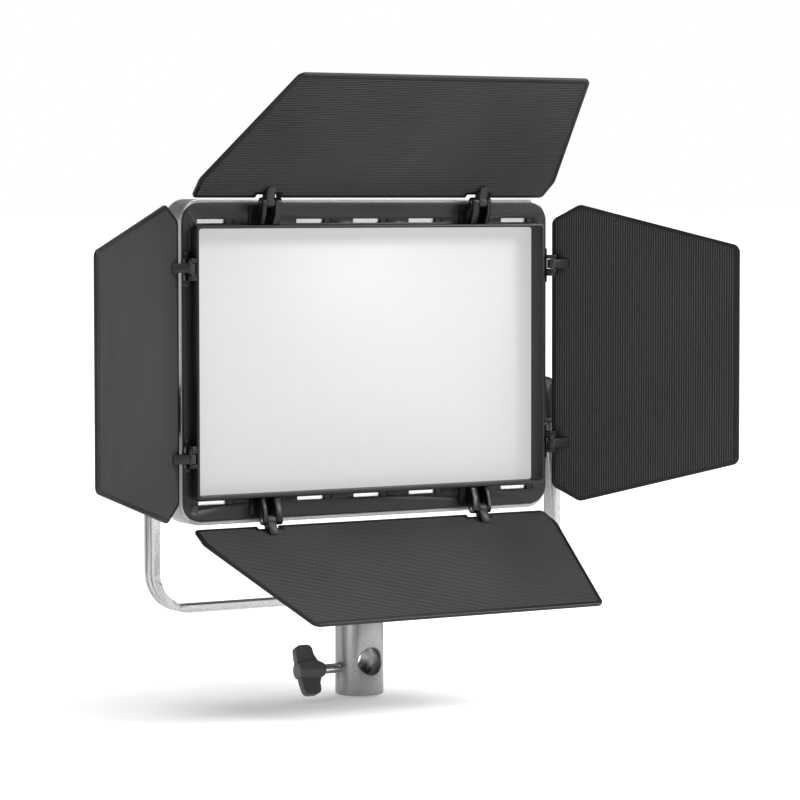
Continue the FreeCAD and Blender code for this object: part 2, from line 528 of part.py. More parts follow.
for side in SIDES:
    family = "long" if side in ("top", "bottom") else "side"
    start, length, offset, chamfer = ("%s_%s" % (family, word) for word in ("start", "len", "off", "c"))
    w0, w1, w2 = ("%s_w%d" % (family, number) for number in range(3))
    leaf = new_body("leaf_" + side)
    pad(leaf, "XY", offset, "leaf_t",
        ("poly", ("-%s/2" % w0, start), (w0 + "/2", start), (w1 + "/2", start + "+" + chamfer),
         (w2 + "/2", start + "+" + length), ("-%s/2" % w2, start + "+" + length),
         ("-%s/2" % w1, start + "+" + chamfer)))
    far = value(start + "+" + length)
    knee = value(start + "+" + chamfer)
    soften(leaf, "Fillet", "6", lambda a, b: along(a, b, "z") and abs(a.y - far) < 0.01)
    soften(leaf, "Fillet", "9", lambda a, b: along(a, b, "z") and abs(a.y - knee) < 0.01)
    soften(leaf, "Fillet", "3", lambda a, b: along(a, b, "z") and abs(a.y - value(start)) < 0.01)
    if family == "long":
        middle = "hinge_long-(ear_in-ear_out)/2"
        pocket(leaf, "XY", offset, "leaf_t",
               ("rect", "-(%s)" % middle, "(long_start-1+notch_s)/2", "notch_w", "notch_s-long_start+1"),
               ("rect", middle, "(long_start-1+notch_s)/2", "notch_w", "notch_s-long_start+1"))
    leaf.Placement = leaf_placement(side)

    tongues = new_body("hinge_tongues_" + side)
    arm = [("-3", "0"), ("-2.2", "%s-2.6" % offset), ("0.4", offset), ("tongue_s", offset),
           ("tongue_s", offset + "-1"), ("3", "0"), ("0", "-1")]
    for sign in ("-", "+"):
        low = "%shinge_%s-tongue_w/2" % (sign, family)
        pad(tongues, "YZ", low, "tongue_w", ("poly", *arm))
        pad(tongues, "YZ", low, "tongue_w", ("circle", "0", "0", "barrel_r"))
        pocket(tongues, "YZ", low + "-1", "tongue_w+2", ("circle", "0", "0", "pin_r+0.05"))
    tongues.Placement = leaf_placement(side)

# ---------------------------------------------------------------- tilting bracket

yoke = new_body("yoke_bracket")
ARM_TOP = "pivot_z+yoke_d/2"
TALL = "200"
pad(yoke, "XZ", "-yoke_d/2", "yoke_d", ("rect", "0", "yoke_z+%s/2" % TALL, "yoke_w", TALL, "yoke_r"))
pocket(yoke, "XZ", "-yoke_d/2-1", "yoke_d+2",
       ("rect", "0", "yoke_z+yoke_t+%s/2" % TALL, "yoke_w-2*yoke_t", TALL, "yoke_r-yoke_t"))
pocket(yoke, "XZ", "-yoke_d/2-1", "yoke_d+2", ("rect", "0", ARM_TOP + "+60", "yoke_w+10", "120"))
soften(yoke, "Fillet", "yoke_d/2-0.05", lambda a, b: along(a, b, "x") and flat(a, b, "z", value(ARM_TOP)))
for spot in ("-groove_y", "groove_y"):
    pocket(yoke, "XZ", spot + "-groove_w/2", "groove_w",
           ("rect", "0", "yoke_z+150", "yoke_w+8", "308", "yoke_r+4"),
           ("rect", "0", "yoke_z+150", "yoke_w-2*groove_d", "300-2*groove_d", "yoke_r-groove_d"))
pocket(yoke, "YZ", "-yoke_w", "2*yoke_w", ("circle", "0", "pivot_z", "hole_r"))
pocket(yoke, "XY", "yoke_z-1", "yoke_t+2", ("circle", "0", "0", "4.05"))

washers = [cut(rod("X", x, "0", "pivot_z", "11", "yoke_w/2-yoke_t-boss_end-0.1"),
               rod("X", x + "-1", "0", "pivot_z", "hole_r", "5"))
           for x in ("boss_end+0.1", "-yoke_w/2+yoke_t")]
node(fuse(*washers), "friction_washers")

# a boss outside the frame, flat in front to clear the leaf, and a weld nut inside it
bosses = [cut(fuse(rod("X", x, "0", "pivot_z", "boss_r", "boss_end-frame_w/2"),
                   rod("X", inner, "0", "pivot_z", "4.5", "1")),
              rod("X", hole, "0", "pivot_z", "hole_r", "30"),
              box(x + "-1", "-boss_r-1", "pivot_z-boss_r", "boss_end-frame_w/2+2",
               "boss_r+1-boss_flat", "2*boss_r"))
          for x, inner, hole in (("frame_w/2", "frame_w/2-frame_wall-1", "frame_w/2-20"),
                                 ("-boss_end", "-frame_w/2+frame_wall", "-boss_end-1"))]
node(fuse(*bosses), "pivot_bosses")



def beyond_arm(sign, distance, length):
    """The low end of a piece that starts a distance outside one arm."""
    return "yoke_w/2+" + distance if sign > 0 else "-yoke_w/2-(%s)-(%s)" % (distance, length)


# tilt screws: a washer, a steel stud and a lobed knob on each side
STUD_IN_ARM = "frame_wall+yoke_w/2-frame_w/2"
for side, sign in (("left", -1), ("right", 1)):
    ring = cut(rod("X", beyond_arm(sign, "0.03", "tilt_washer_t"), "0", "pivot_z",
                   "tilt_washer_r", "tilt_washer_t"),
               rod("X", beyond_arm(sign, "-1", "4"), "0", "pivot_z", "hole_r", "4"))
    node(ring, "tilt_washer_" + side)
    reach = STUD_IN_ARM + "+tilt_washer_t+10"
    low = "frame_w/2-frame_wall" if sign > 0 else "-frame_w/2+frame_wall-(%s)" % reach
    node(rod("X", low, "0", "pivot_z", "stud_r", reach), "tilt_stud_" + side)
    grip = new_body("tilt_knob_" + side)
    foot = beyond_arm(sign, "0.08+tilt_washer_t", "tilt_knob_d")
    inner_end = foot if sign > 0 else foot + "+tilt_knob_d-4"
    outer = foot + "+4" if sign > 0 else foot
    pad(grip, "YZ", outer, "tilt_knob_d-4", ("circle", "0", "pivot_z", "tilt_knob_r"))
    pad(grip, "YZ", inner_end, "4", ("circle", "0", "pivot_z", "8"))
    edge_x = value(foot + ("+tilt_knob_d" if sign > 0 else ""))
    soften(grip, "Fillet", "1.5", lambda a, b: flat(a, b, "x", edge_x))
    for turn in range(15, 360, 60):
        pocket(grip, "YZ", outer, "tilt_knob_d-4",
               ("circle", "(tilt_knob_r+3.4)*cos(%d)" % turn,
                "pivot_z+(tilt_knob_r+3.4)*sin(%d)" % turn, "5.6"))
    bore = "10-0.08"
    bore_low = foot + "-1" if sign > 0 else foot + "+tilt_knob_d-(%s)" % bore
    pocket(grip, "YZ", bore_low, bore + "+1", ("circle", "0", "pivot_z", "stud_r"))

# ---------------------------------------------------------------- stand socket


def on_socket(point):
    """A point lies on the socket's outer wall."""
    return abs(math.hypot(point.x, point.y) - value("socket_r")) < 0.01


def on_cross_bore(point):
    """A point lies on the wall of the bore that crosses the socket."""
    return abs(math.hypot(point.x, point.z - value("cross_z")) - value("bore_r")) < 0.01


receiver = new_body("stand_socket")
pad(receiver, "XY", "0", "yoke_z", ("circle", "0", "0", "socket_r"))
pocket(receiver, "XY", "0", "bore_d", ("circle", "0", "0", "bore_r"))
pocket(receiver, "XZ", "-socket_r-1", "2*socket_r+2", ("circle", "0", "cross_z", "bore_r"))
pocket(receiver, "YZ", "-socket_r-1", "socket_r+1", ("circle", "0", "wing_z", "hole_r"))
pocket(receiver, "XY", "bore_d", "yoke_z-bore_d+1", ("circle", "0", "0", "4.05"))
soften(receiver, "Fillet", "1", lambda a, b: flat(a, b, "z", 0) and on_socket(a))
soften(receiver, "Chamfer", "mouth_c", lambda a, b: on_socket(a) and on_cross_bore(a) and on_cross_bore(b))

node(cut(rod("Z", "0", "0", "yoke_z+yoke_t", "10", "1.2"), rod("Z", "0", "0", "yoke_z", "4.05", "8")),
     "socket_washer")
bolt = fuse(rod("Z", "0", "0", "bore_d+1", "4", "yoke_z-bore_d+yoke_t+1.2"),
            rod("Z", "0", "0", "yoke_z+yoke_t+1.2", "6.5", "5"))
hexagon = doc.addObject("Part::Prism", "hexagon")
hexagon.Polygon = 6
hexagon.Circumradius = 3.4
hexagon.Height = 4
hexagon.setExpression("Placement.Base.z", bound("yoke_z+yoke_t+1.2+2"))
node(cut(bolt, hexagon), "socket_bolt")

node(rod("X", "-bore_r-0.6-2", "0", "wing_z", "stud_r-0.02", "2"), "clamp_pad")
node(rod("X", "-wing_end+4", "0", "wing_z", "stud_r", "wing_end-4-bore_r-0.6-2.05"), "wing_stud")

# two-lobed wing grip, modelled upright about its own axis and then turned on the screw
wing = new_body("wing_grip")
pad(wing, "XZ", "-wing_t/2", "wing_t",
    ("poly", ("-wing_start-4", "-6"), ("-wing_start-5.5", "-9"), ("-wing_start-6", "-wing_half"),
     ("-wing_end+1", "-wing_half"), ("-wing_end", "-8"), ("-wing_end", "8"), ("-wing_end+1", "wing_half"),
     ("-wing_start-6", "wing_half"), ("-wing_start-5.5", "9"), ("-wing_start-4", "6")))
soften(wing, "Fillet", "3.5", lambda a, b: along(a, b, "y") and abs(abs(a.z) - value("wing_half")) < 0.01)
hub = wing.newObject("PartDesign::Revolution", "hub")
hub.Profile = new_sketch(wing, "XZ", "0", [
    ("poly", ("-wing_start", "0"), ("-wing_start", "4"), ("-wing_start-1", "4.6"), ("-wing_start-5", "6.4"),
     ("-wing_end-0.5", "5"), ("-wing_end-0.5", "0"))])
hub.ReferenceAxis = (hub.Profile[0], ["H_Axis"])
hub.Angle = 360
doc.recompute()
pocket(wing, "YZ", "-wing_end+4", "wing_end", ("circle", "0", "0", "stud_r"))
wing.Placement.Rotation = FreeCAD.Rotation(FreeCAD.Vector(1, 0, 0), value("wing_turn"))
wing.setExpression("Placement.Base.z", bound("wing_z"))

# ---------------------------------------------------------------- checks and export

doc.recompute()
for name, thing in nodes.items():
    if thing.Shape.isNull() or not thing.Shape.isValid() or not thing.Shape.Solids:
        raise RuntimeError("%s has no valid solid" % name)
for thing in doc.Objects:
    if "Invalid" in thing.State or "Error" in thing.State:
        raise RuntimeError("%s is in error" % thing.Label)
os.makedirs("parts", exist_ok=True)
for name, thing in nodes.items():
    thing.Shape.exportStep("parts/%s.step" % name)
print(len(nodes), "nodes written")
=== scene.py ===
import json
import math

import bpy
from mathutils import Matrix, Vector


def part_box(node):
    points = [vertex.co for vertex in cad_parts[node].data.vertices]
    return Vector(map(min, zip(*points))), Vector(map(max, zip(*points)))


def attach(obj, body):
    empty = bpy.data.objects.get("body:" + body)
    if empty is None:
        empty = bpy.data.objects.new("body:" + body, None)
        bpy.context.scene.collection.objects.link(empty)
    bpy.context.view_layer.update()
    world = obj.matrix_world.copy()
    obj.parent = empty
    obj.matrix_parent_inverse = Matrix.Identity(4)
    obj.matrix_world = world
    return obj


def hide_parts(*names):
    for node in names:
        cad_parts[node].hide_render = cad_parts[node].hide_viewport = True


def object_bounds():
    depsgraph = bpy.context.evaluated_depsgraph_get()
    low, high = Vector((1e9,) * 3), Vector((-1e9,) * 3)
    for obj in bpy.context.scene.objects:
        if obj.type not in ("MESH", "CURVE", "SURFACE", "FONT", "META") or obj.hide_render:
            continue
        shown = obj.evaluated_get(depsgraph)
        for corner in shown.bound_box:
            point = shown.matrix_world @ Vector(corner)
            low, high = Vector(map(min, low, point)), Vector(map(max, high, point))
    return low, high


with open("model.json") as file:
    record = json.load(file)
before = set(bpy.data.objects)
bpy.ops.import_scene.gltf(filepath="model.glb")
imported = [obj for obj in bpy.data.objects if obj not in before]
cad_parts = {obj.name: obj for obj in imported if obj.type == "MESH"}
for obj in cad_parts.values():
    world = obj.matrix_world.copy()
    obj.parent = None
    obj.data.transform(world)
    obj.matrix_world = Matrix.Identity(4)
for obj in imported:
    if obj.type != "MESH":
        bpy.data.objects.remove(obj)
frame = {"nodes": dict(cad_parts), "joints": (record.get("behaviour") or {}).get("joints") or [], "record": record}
cad_low, cad_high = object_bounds()
record = frame["record"]
node_body = {node: body for body, members in record["behaviour"]["bodies"].items() for node in members}
joint = {row["name"]: row for row in frame["joints"]}
MM = 0.001

# ---------------------------------------------------------------- camera, floor and light
# A product table: a pale floor with no edge in sight, a broad soft light from above and the right,
# a weaker box on the left, and a long lens well to the left of the lamp.

camera_spot = Vector((-1.1115, -1.8219, 0.3001))
camera_yaw, camera_pitch, camera_roll = 32.07, 3.19, 0.07
lens = bpy.data.cameras.new("table_camera")
lens.lens = 156.5
lens.sensor_width = 36
lens.clip_end = 600
camera = bpy.data.objects.new("table_camera", lens)
camera.location = camera_spot
camera.rotation_euler = (math.radians(90 - camera_pitch), math.radians(camera_roll),
                         math.radians(-camera_yaw))
bpy.context.scene.collection.objects.link(camera)
bpy.context.scene.camera = camera
bpy.context.scene.view_settings.view_transform = "Standard"

floor_drop = 1.5 * MM
bpy.ops.object.select_all(action="DESELECT")
floor_width = 400
bpy.ops.mesh.primitive_grid_add(x_subdivisions=4, y_subdivisions=4, size=floor_width,
                                location=(0, 0, cad_low.z - floor_drop))
floor = bpy.context.object
floor.name = "pale_floor"
bpy.ops.object.transform_apply(location=True)
paper = bpy.data.materials.new("matte_paper")
paper.use_nodes = True
tree = paper.node_tree
place = tree.nodes.new("ShaderNodeTexCoord")
fibre = tree.nodes.new("ShaderNodeTexNoise")
fibre.inputs["Scale"].default_value = 300
tone = tree.nodes.new("ShaderNodeMapRange")
tone.inputs["To Min"].default_value = 0.93
tone.inputs["To Max"].default_value = 0.96
tree.links.new(place.outputs["Object"], fibre.inputs["Vector"])
tree.links.new(fibre.outputs["Fac"], tone.inputs["Value"])
tree.links.new(tone.outputs["Result"], tree.nodes["Principled BSDF"].inputs["Base Color"])
paper_shader = tree.nodes["Principled BSDF"]
paper_shader.inputs["Roughness"].default_value = 0.9
paper_shader.inputs["Emission Color"].default_value = (1, 1, 1, 1)
paper_shader.inputs["Emission Strength"].default_value = 0.3
floor.data.materials.append(paper)

world = bpy.data.worlds.new("studio")
world.use_nodes = True
sky = world.node_tree
background = sky.nodes["Background"]
white_room = sky.nodes.new("ShaderNodeBackground")
white_room.inputs["Color"].default_value = (1, 1, 1, 1)
chooser = sky.nodes.new("ShaderNodeMixShader")
sight = sky.nodes.new("ShaderNodeLightPath")
background.inputs["Color"].default_value = (1, 1, 1, 1)
background.inputs["Strength"].default_value = 0.17
sky.links.new(sight.outputs["Is Camera Ray"], chooser.inputs["Fac"])
sky.links.new(background.outputs["Background"], chooser.inputs[1])
sky.links.new(white_room.outputs["Background"], chooser.inputs[2])
sky.links.new(chooser.outputs["Shader"], sky.nodes["World Output"].inputs["Surface"])
bpy.context.scene.world = world


def soft_sun(name, toward, strength, spread):
    """A broad even light whose direction is given as a vector from the lamp's table to the light."""
    sun = bpy.data.lights.new(name, "SUN")
    sun.energy = strength
    sun.angle = math.radians(spread)
    thing = bpy.data.objects.new(name, sun)
    thing.rotation_euler = Vector(toward).to_track_quat("Z", "Y").to_euler()
    bpy.context.scene.collection.objects.link(thing)


def soft_box(name, spot, aim, size, watts):
    """A square soft box at a spot, turned towards a point."""
    panel = bpy.data.lights.new(name, "AREA")
    panel.size = size
    panel.energy = watts
    thing = bpy.data.objects.new(name, panel)
    thing.location = spot
    thing.rotation_euler = (Vector(spot) - Vector(aim)).to_track_quat("Z", "Y").to_euler()
    bpy.context.scene.collection.objects.link(thing)


middle = (cad_low + cad_high) / 2
soft_sun("even_top_light", (0.4, -0.3, 1.0), 3.3, 80)
soft_box("right_soft_box", (1.9, -1.8, 1.6), middle, 0.9, 70)
soft_box("left_soft_box", (-2.2, -0.2, 0.7), middle, 0.7, 8)

# ---------------------------------------------------------------- aluminium frame round the panel
# An extruded and bent aluminium band, bead blasted and clear anodised. It shows as a thin silver
# border round the black plate, and its corners and edges are lightly deburred.

frame_ease = 0.4 * MM


def eased(node, width, sharp=38, steps=2):
    """A finished copy of a piece, with its doubled points merged and its edges broken to a small radius."""
    bpy.ops.object.select_all(action="DESELECT")
    piece = bpy.data.objects.new(node + "_eased", frame["nodes"][node].data.copy())
    bpy.context.scene.collection.objects.link(piece)
    bpy.context.view_layer.objects.active = piece
    piece.select_set(True)
    bpy.ops.object.mode_set(mode="EDIT")
    bpy.ops.mesh.select_all(action="SELECT")
    bpy.ops.mesh.remove_doubles(threshold=1e-6)
    bpy.ops.mesh.dissolve_limited(angle_limit=math.radians(0.5))
    bpy.ops.object.mode_set(mode="OBJECT")
    edge = piece.modifiers.new("edge", "BEVEL")
    edge.width = width
    edge.segments = steps
    edge.limit_method = "ANGLE"
    edge.angle_limit = math.radians(sharp)
    edge.harden_normals = True
    bpy.ops.object.modifier_apply(modifier="edge")
    bpy.ops.object.shade_smooth_by_angle(angle=math.radians(35))
    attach(piece, node_body[node])
    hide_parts(node)
    return piece


def dress(thing, *finishes):
    """Give a piece its material and nothing else."""
    thing.data.materials.clear()
    for finish in finishes:
        thing.data.materials.append(finish)


def surface(name, colour, rough, metal=0.0):
    """A new finish with its shader's fixed numbers set, and the shader and node tree to build on."""
    finish = bpy.data.materials.new(name)
    finish.use_nodes = True
    tree = finish.node_tree
    shader = tree.nodes["Principled BSDF"]
    shader.inputs["Base Color"].default_value = (*colour, 1)
    shader.inputs["Roughness"].default_value = rough
    shader.inputs["Metallic"].default_value = metal
    return finish, tree, shader


def speckle(tree, scale, stretch=(1, 1, 1), detail=3.0):
    """A noise on the piece's own coordinates, stretched along an axis for drawn or turned metal."""
    place = tree.nodes.new("ShaderNodeTexCoord")
    mapping = tree.nodes.new("ShaderNodeMapping")
    mapping.inputs["Scale"].default_value = stretch
    noise = tree.nodes.new("ShaderNodeTexNoise")
    noise.inputs["Scale"].default_value = scale
    noise.inputs["Detail"].default_value = detail
    tree.links.new(place.outputs["Object"], mapping.inputs["Vector"])
    tree.links.new(mapping.outputs["Vector"], noise.inputs["Vector"])
    return noise.outputs["Fac"]


def spread(tree, source, low, high):
    """Stretch a 0 to 1 pattern over a range of values."""
    ranger = tree.nodes.new("ShaderNodeMapRange")
    ranger.inputs["From Min"].default_value = 0.3
    ranger.inputs["From Max"].default_value = 0.7
    ranger.inputs["To Min"].default_value = low
    ranger.inputs["To Max"].default_value = high
    tree.links.new(source, ranger.inputs["Value"])
    return ranger.outputs["Result"]


def tint(tree, shader, source, dark, light):
    """Vary the base colour between two tones with a pattern."""
    ramp = tree.nodes.new("ShaderNodeValToRGB")
    ramp.color_ramp.elements[0].position = 0.3
    ramp.color_ramp.elements[1].position = 0.7
    ramp.color_ramp.elements[0].color = (*dark, 1)
    ramp.color_ramp.elements[1].color = (*light, 1)
    tree.links.new(source, ramp.inputs["Fac"])
    tree.links.new(ramp.outputs["Color"], shader.inputs["Base Color"])


def grain(tree, shader, source, depth, strength):
    """Raise a pattern off the surface by a depth in metres."""
    bump = tree.nodes.new("ShaderNodeBump")
    bump.inputs["Distance"].default_value = depth
    bump.inputs["Strength"].default_value = strength
    tree.links.new(source, bump.inputs["Height"])
    tree.links.new(bump.outputs["Normal"], shader.inputs["Normal"])


def blasted_metal(name, colour, rough, stretch=(1, 1, 1), depth=0.05 * MM):
    """Bead-blasted and anodised metal, with a fine even sparkle in its tone, gloss and relief."""
    finish, tree, shader = surface(name, colour, rough, metal=1.0)
    fine = speckle(tree, 1400, stretch)
    dark = tuple(0.72 * part for part in colour)
    tint(tree, shader, fine, dark, tuple(1.16 * part for part in colour))
    tree.links.new(spread(tree, fine, rough - 0.05, rough + 0.07), shader.inputs["Roughness"])
    grain(tree, shader, fine, depth, 0.35)
    return finish


satin_aluminium = blasted_metal("satin_aluminium", (0.42, 0.425, 0.43), 0.5)
band = eased("housing_frame", frame_ease)
dress(band, satin_aluminium)

# ---------------------------------------------------------------- black front plate with its raised rim
# One moulding in black plastic with a fine eroded grain. The rim stands out round the lit area, and
# ten slots are cut through beside its long sides.


def moulded(name, dark, light, rough, grain_scale=1100, depth=0.06 * MM, strength=0.4):
    """Moulded plastic: an eroded grain, a slow change of gloss and a little dust in the tone."""
    finish, tree, shader = surface(name, light, rough)
    shader.inputs["Specular IOR Level"].default_value = 0.3
    fine = speckle(tree, grain_scale)
    slow = speckle(tree, 22)
    tint(tree, shader, slow, dark, light)
    tree.links.new(spread(tree, slow, rough - 0.05, rough + 0.05), shader.inputs["Roughness"])
    grain(tree, shader, fine, depth, strength)
    return finish


black_plastic = moulded("black_plastic", (0.010, 0.010, 0.0105), (0.016, 0.016, 0.0165), 0.42)
plate = eased("front_bezel", 0.3 * MM)
dress(plate, black_plastic)
plug = eased("bezel_plug", 0.25 * MM)
plug_plastic = moulded("plug_plastic", (0.05, 0.05, 0.052), (0.07, 0.07, 0.072), 0.35)
dress(plug, plug_plastic)

# ---------------------------------------------------------------- painted shade in the plate's slots
# A small black block fills the right-hand end of each of the ten slots, half a millimetre below the
# plate's front face, so that the bright tray shows over only four fifths of a slot. The blocks are
# painted shade: they stand in for the shade in that end of each slot.

slot_up, slot_near, slot_far = 83.8 * MM, 39.9 * MM, 107.95 * MM
slot_rows = (-slot_up, slot_up)
slot_columns = (-slot_far, -slot_near, 0, slot_near, slot_far)
slot_length, slot_height = 24.4 * MM, 2.5 * MM
shade_block_length, shade_block_deep = 4.4 * MM, 1.0 * MM
shade_block_sunk = 0.5 * MM
low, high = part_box("diffuser")
plate_middle = (low.z + high.z) / 2
plate_face = -13.75 * MM
shade_blocks = []
bpy.ops.object.select_all(action="DESELECT")
for row in slot_rows:
    for column in slot_columns:
        across = column + (slot_length - shade_block_length) / 2
        deep = plate_face + shade_block_sunk + shade_block_deep / 2
        bpy.ops.mesh.primitive_cube_add(size=1, location=(across, deep, plate_middle + row))
        bpy.context.object.scale = (shade_block_length, shade_block_deep, slot_height)
        bpy.ops.object.transform_apply(location=True, scale=True)
        shade_blocks.append(bpy.context.object)
for block in shade_blocks:
    block.select_set(True)
bpy.context.view_layer.objects.active = shade_blocks[0]
bpy.ops.object.join()
# These black blocks are painted shade in the right-hand ends of the slots.
slot_shade_blocks = bpy.context.object
slot_shade_blocks.name = "slot_shade_blocks"
dress(slot_shade_blocks, black_plastic)
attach(slot_shade_blocks, "panel")

# ---------------------------------------------------------------- diffuser
# A 2 mm opal acrylic sheet, matt on the front. The emitters behind it leave the faintest even dots.

dot_pitch = 16 * MM
dot_reach = 6 * MM
opal, tree, shader = surface("opal_sheet", (0.8, 0.8, 0.8), 0.55)
shader.inputs["Emission Color"].default_value = (1.0, 0.995, 0.98, 1)
shader.inputs["Emission Strength"].default_value = 0.50
place = tree.nodes.new("ShaderNodeTexCoord")
centre = tree.nodes.new("ShaderNodeVectorMath")
centre.operation = "ADD"
low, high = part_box("diffuser")
centre.inputs[1].default_value = (dot_pitch / 2, 0, dot_pitch / 2 - (low.z + high.z) / 2)
cell = tree.nodes.new("ShaderNodeVectorMath")
cell.operation = "WRAP"
cell.inputs[1].default_value = (dot_pitch, 1, dot_pitch)
cell.inputs[2].default_value = (0, -1, 0)
offset = tree.nodes.new("ShaderNodeVectorMath")
offset.operation = "SUBTRACT"
offset.inputs[1].default_value = (dot_pitch / 2, 0, dot_pitch / 2)
flatten = tree.nodes.new("ShaderNodeVectorMath")
flatten.operation = "MULTIPLY"
flatten.inputs[1].default_value = (1, 0, 1)
reach = tree.nodes.new("ShaderNodeVectorMath")
reach.operation = "LENGTH"
dots = tree.nodes.new("ShaderNodeMapRange")
dots.interpolation_type = "SMOOTHSTEP"
dots.inputs["From Min"].default_value = 0.3 * dot_reach
dots.inputs["From Max"].default_value = dot_reach
tree.links.new(place.outputs["Object"], centre.inputs[0])
tree.links.new(centre.outputs[0], cell.inputs[0])
tree.links.new(cell.outputs[0], offset.inputs[0])
tree.links.new(offset.outputs[0], flatten.inputs[0])
tree.links.new(flatten.outputs[0], reach.inputs[0])
tree.links.new(reach.outputs["Value"], dots.inputs["Value"])
ramp = tree.nodes.new("ShaderNodeValToRGB")
ramp.color_ramp.elements[0].color = (0.206, 0.205, 0.201, 1)
ramp.color_ramp.elements[1].color = (0.199, 0.201, 0.201, 1)
tree.links.new(dots.outputs["Result"], ramp.inputs["Fac"])
tree.links.new(ramp.outputs["Color"], shader.inputs["Base Color"])
grain(tree, shader, speckle(tree, 900), 0.03 * MM, 0.3)
opal_sheet = eased("diffuser", 0.2 * MM)
dress(opal_sheet, opal)

# ---------------------------------------------------------------- light engine and driver
# Behind the opal sheet: a bright folded tray, the emitter board with its phosphor chips, a finned
# extrusion, and the driver board on brass pillars. Only the tray shows, through the plate's slots.

tray_metal = blasted_metal("bright_sheet", (0.80, 0.80, 0.80), 0.3, stretch=(1, 1, 12))
board_white = moulded("solder_mask_white", (0.72, 0.72, 0.7), (0.8, 0.8, 0.78), 0.4, 600)
board_green = moulded("solder_mask_green", (0.008, 0.07, 0.03), (0.014, 0.10, 0.045), 0.35, 600)
phosphor = moulded("phosphor", (0.72, 0.5, 0.06), (0.8, 0.6, 0.1), 0.4, 800)
dark_part = moulded("dark_component", (0.012, 0.012, 0.014), (0.02, 0.02, 0.023), 0.3, 900)
brass = blasted_metal("turned_brass", (0.75, 0.56, 0.25), 0.3)
for node, finish in (("reflector_tray", tray_metal), ("led_board", board_white), ("led_array", phosphor),
                     ("heatsink", tray_metal), ("driver_board", board_green), ("board_pillars", brass),
                     ("driver_components", dark_part)):
    dress(frame["nodes"][node], finish)

# ---------------------------------------------------------------- rear cover and its screws
# A tapered black moulding with two columns of vent slots, held by four black slotted screws.

cover_plastic = moulded("cover_plastic", (0.013, 0.013, 0.0135), (0.02, 0.02, 0.0205), 0.5,
                        700, 0.1 * MM, 0.5)
cover = eased("rear_cover", 0.9 * MM, sharp=20, steps=3)
dress(cover, cover_plastic)
black_steel = blasted_metal("black_oxide_steel", (0.06, 0.06, 0.062), 0.4)
screws = eased("rear_screws", 0.2 * MM)
dress(screws, black_steel)

# ---------------------------------------------------------------- control panel
# A smooth black plate with a display window, two fluted knobs, two rubber buttons, a rocker switch
# in its own frame and a power inlet with a centre pin. Everything snaps in from behind.

panel_plastic = moulded("panel_plastic", (0.006, 0.006, 0.0065), (0.01, 0.01, 0.0105), 0.25,
                        1500, 0.02 * MM, 0.2)
controls = eased("control_panel", 0.4 * MM)
dress(controls, panel_plastic)

window, tree, shader = surface("display_glass", (0.9, 0.95, 1.0), 0.08)
shader.inputs["Transmission Weight"].default_value = 1.0
shader.inputs["IOR"].default_value = 1.45
tree.links.new(spread(tree, speckle(tree, 40), 0.05, 0.12), shader.inputs["Roughness"])
glass = eased("display_window", 0.3 * MM)
dress(glass, window)
display = moulded("display_dark", (0.004, 0.012, 0.016), (0.006, 0.02, 0.026), 0.3, 500)
dress(frame["nodes"]["display_module"], display)
for node, finish in (("control_board", board_green), ("encoder_brightness", tray_metal),
                     ("encoder_colour", tray_metal)):
    dress(frame["nodes"][node], finish)

knob_rubber = moulded("knob_rubber", (0.013, 0.013, 0.013), (0.021, 0.021, 0.021), 0.6, 900, 0.08 * MM, 0.5)
for node in ("knob_brightness", "knob_colour"):
    dress(eased(node, 0.3 * MM), knob_rubber)
button_rubber = moulded("button_rubber", (0.12, 0.12, 0.12), (0.15, 0.15, 0.15), 0.55, 900)
for node in ("button_mode", "button_set"):
    dress(eased(node, 0.2 * MM), button_rubber)
gloss_black = moulded("gloss_black", (0.008, 0.008, 0.009), (0.012, 0.012, 0.013), 0.18,
                      1500, 0.01 * MM, 0.2)
dress(eased("rocker_frame", 0.3 * MM), gloss_black)
dress(eased("power_rocker", 0.4 * MM), gloss_black)
dress(eased("dc_inlet", 0.2 * MM), gloss_black)

# ---------------------------------------------------------------- hinge brackets, pins and tongues
# Black moulded ears screwed to the plate, each pair holding a leaf's grey tongue on a steel pin.

hinge_black = moulded("hinge_black", (0.003, 0.003, 0.0035), (0.006, 0.006, 0.0065), 0.38)
tongue_grey = moulded("tongue_grey", (0.014, 0.014, 0.0145), (0.022, 0.022, 0.0225), 0.45)
pin_steel = blasted_metal("pin_steel", (0.55, 0.55, 0.56), 0.28)
for side in ("top", "bottom", "left", "right"):
    dress(eased("hinge_brackets_" + side, 0.35 * MM), hinge_black)
    dress(eased("hinge_tongues_" + side, 0.35 * MM), tongue_grey)
dress(frame["nodes"]["hinge_pins"], pin_steel)

# ---------------------------------------------------------------- barn-door leaves
# Sheet leaves in satin black. The inner face carries fine ribs that run parallel to the hinge,
# inside a plain border, and the outer face is plain. Each turns on two pins. The border, the sunk
# field between the ribs and the sheet's edges carry a near-black finish: painted shade in the rib
# valleys and painted dark outlines along the edges.

leaf_thick = 2.2 * MM
border = 2.4 * MM
rib_pitch = 1.5 * MM
rib_base, rib_top, rib_deep = 0.78 * MM, 0.4 * MM, 0.7 * MM
rib_gap = 0.04 * MM
edge_round = 0.7 * MM
notch_width, notch_reach = 14.4 * MM, 0.4 * MM
FORWARD = Vector((0, -1, 0))
LEAF_FAMILY = {
    "long": dict(start=-2.6, length=111.9, widths=(250.0, 253.0, 202.0), knee=16.0, offset=5.2, notch=74.825),
    "side": dict(start=-2.0, length=119.8, widths=(168.0, 187.2, 135.6), knee=18.0, offset=7.9, notch=None),
}
LEAF_SIDES = {
    "top": ("long", Vector((0, 0, 1)), 39.0),
    "bottom": ("long", Vector((0, 0, -1)), 25.4),
    "left": ("side", Vector((-1, 0, 0)), 50.8),
    "right": ("side", Vector((1, 0, 0)), 42.1),
}

